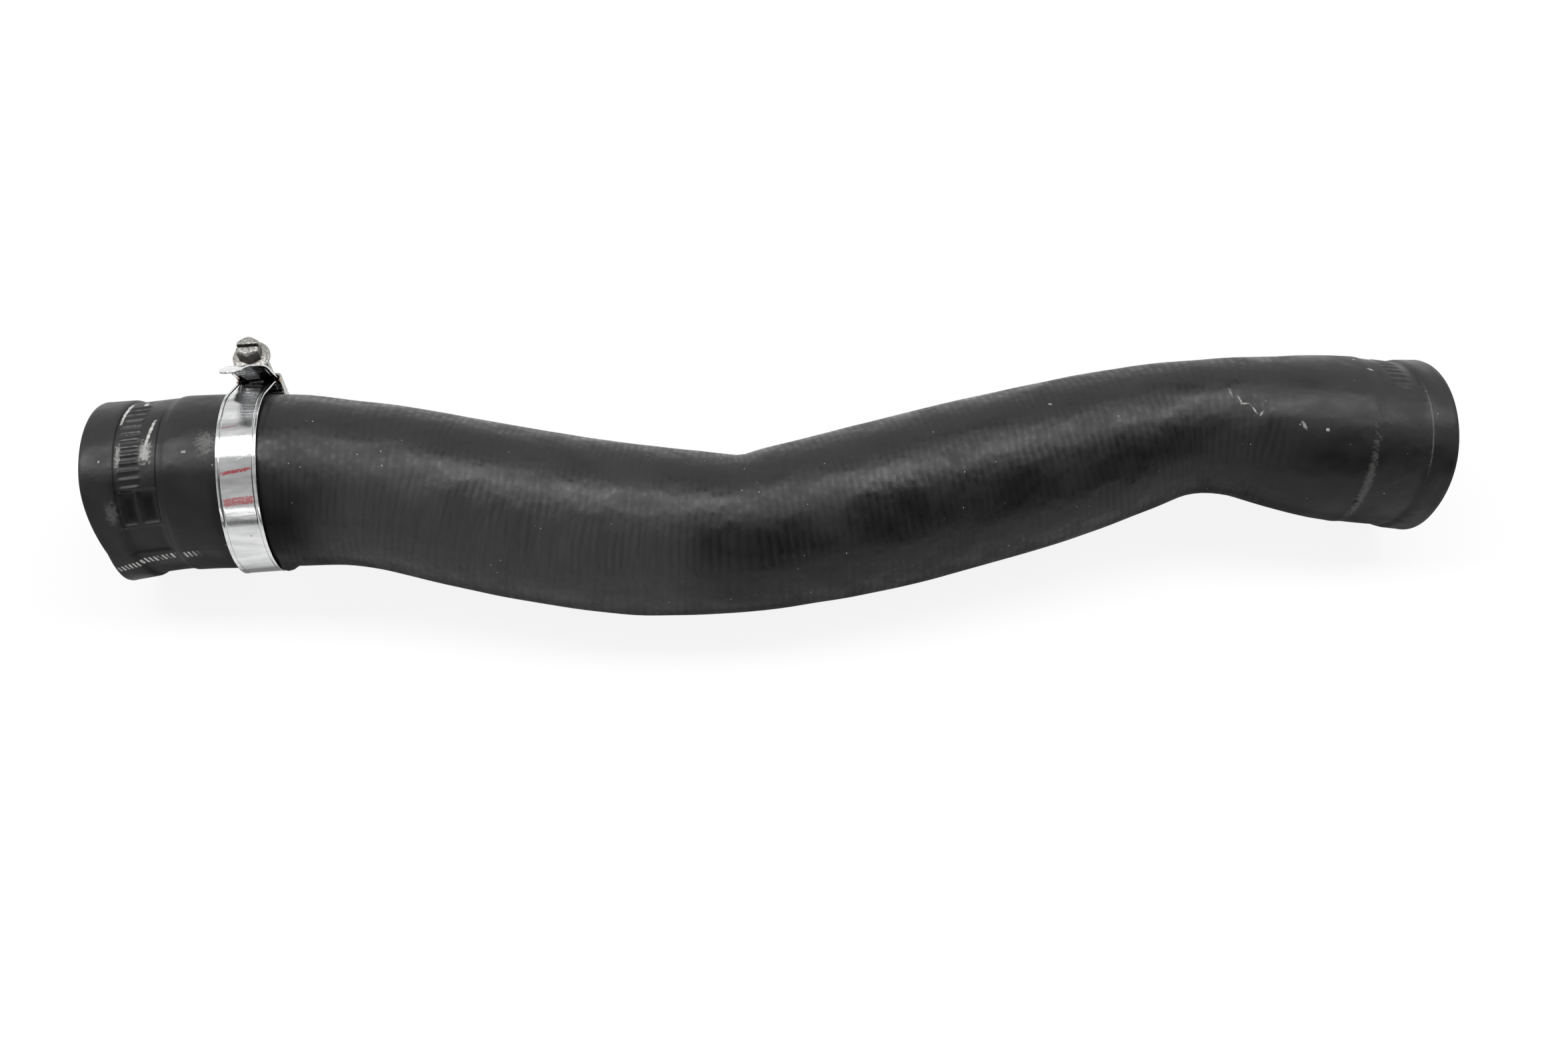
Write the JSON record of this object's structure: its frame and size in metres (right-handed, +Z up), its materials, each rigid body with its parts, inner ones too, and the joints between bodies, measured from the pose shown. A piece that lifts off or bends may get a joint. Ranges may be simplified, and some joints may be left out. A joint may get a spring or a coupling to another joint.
{
  "type": "fuel filler hose",
  "caption": "Moulded rubber fuel filler hose with gentle bends, lipped cuffs at both ends and a slack worm-drive clamp fitted on its left cuff.",
  "frame": {"origin": "bottom centre of the bounding box, on the surface that the hose lies on", "axes": "+Z up, +X along the hose from the clamped cuff to the narrower cuff, +Y away from the viewer"},
  "size_m": [0.434, 0.0886, 0.0775],
  "materials": {
    "moulded_rubber": "matt, with the wrap's fine ribs",
    "stainless_strip": "bright rolled stainless strip",
    "steel_sheet": "dull pressed sheet",
    "zinc_steel": "zinc plated, worn grey"
  },
  "bodies": {
    "hose": {"hose_body": "moulded_rubber", "clamp_band": "stainless_strip", "clamp_housing": "steel_sheet"},
    "screw": {"clamp_screw": "zinc_steel"}
  },
  "joints": [
    {"name": "clamp_screw_turn", "type": "hinge", "parent": "hose", "child": "screw", "pos_m": [-0.16771, 0.033, 0.03421], "axis": [-0.0595, -0.0011, 0.9982], "continuous": true}
  ]
}
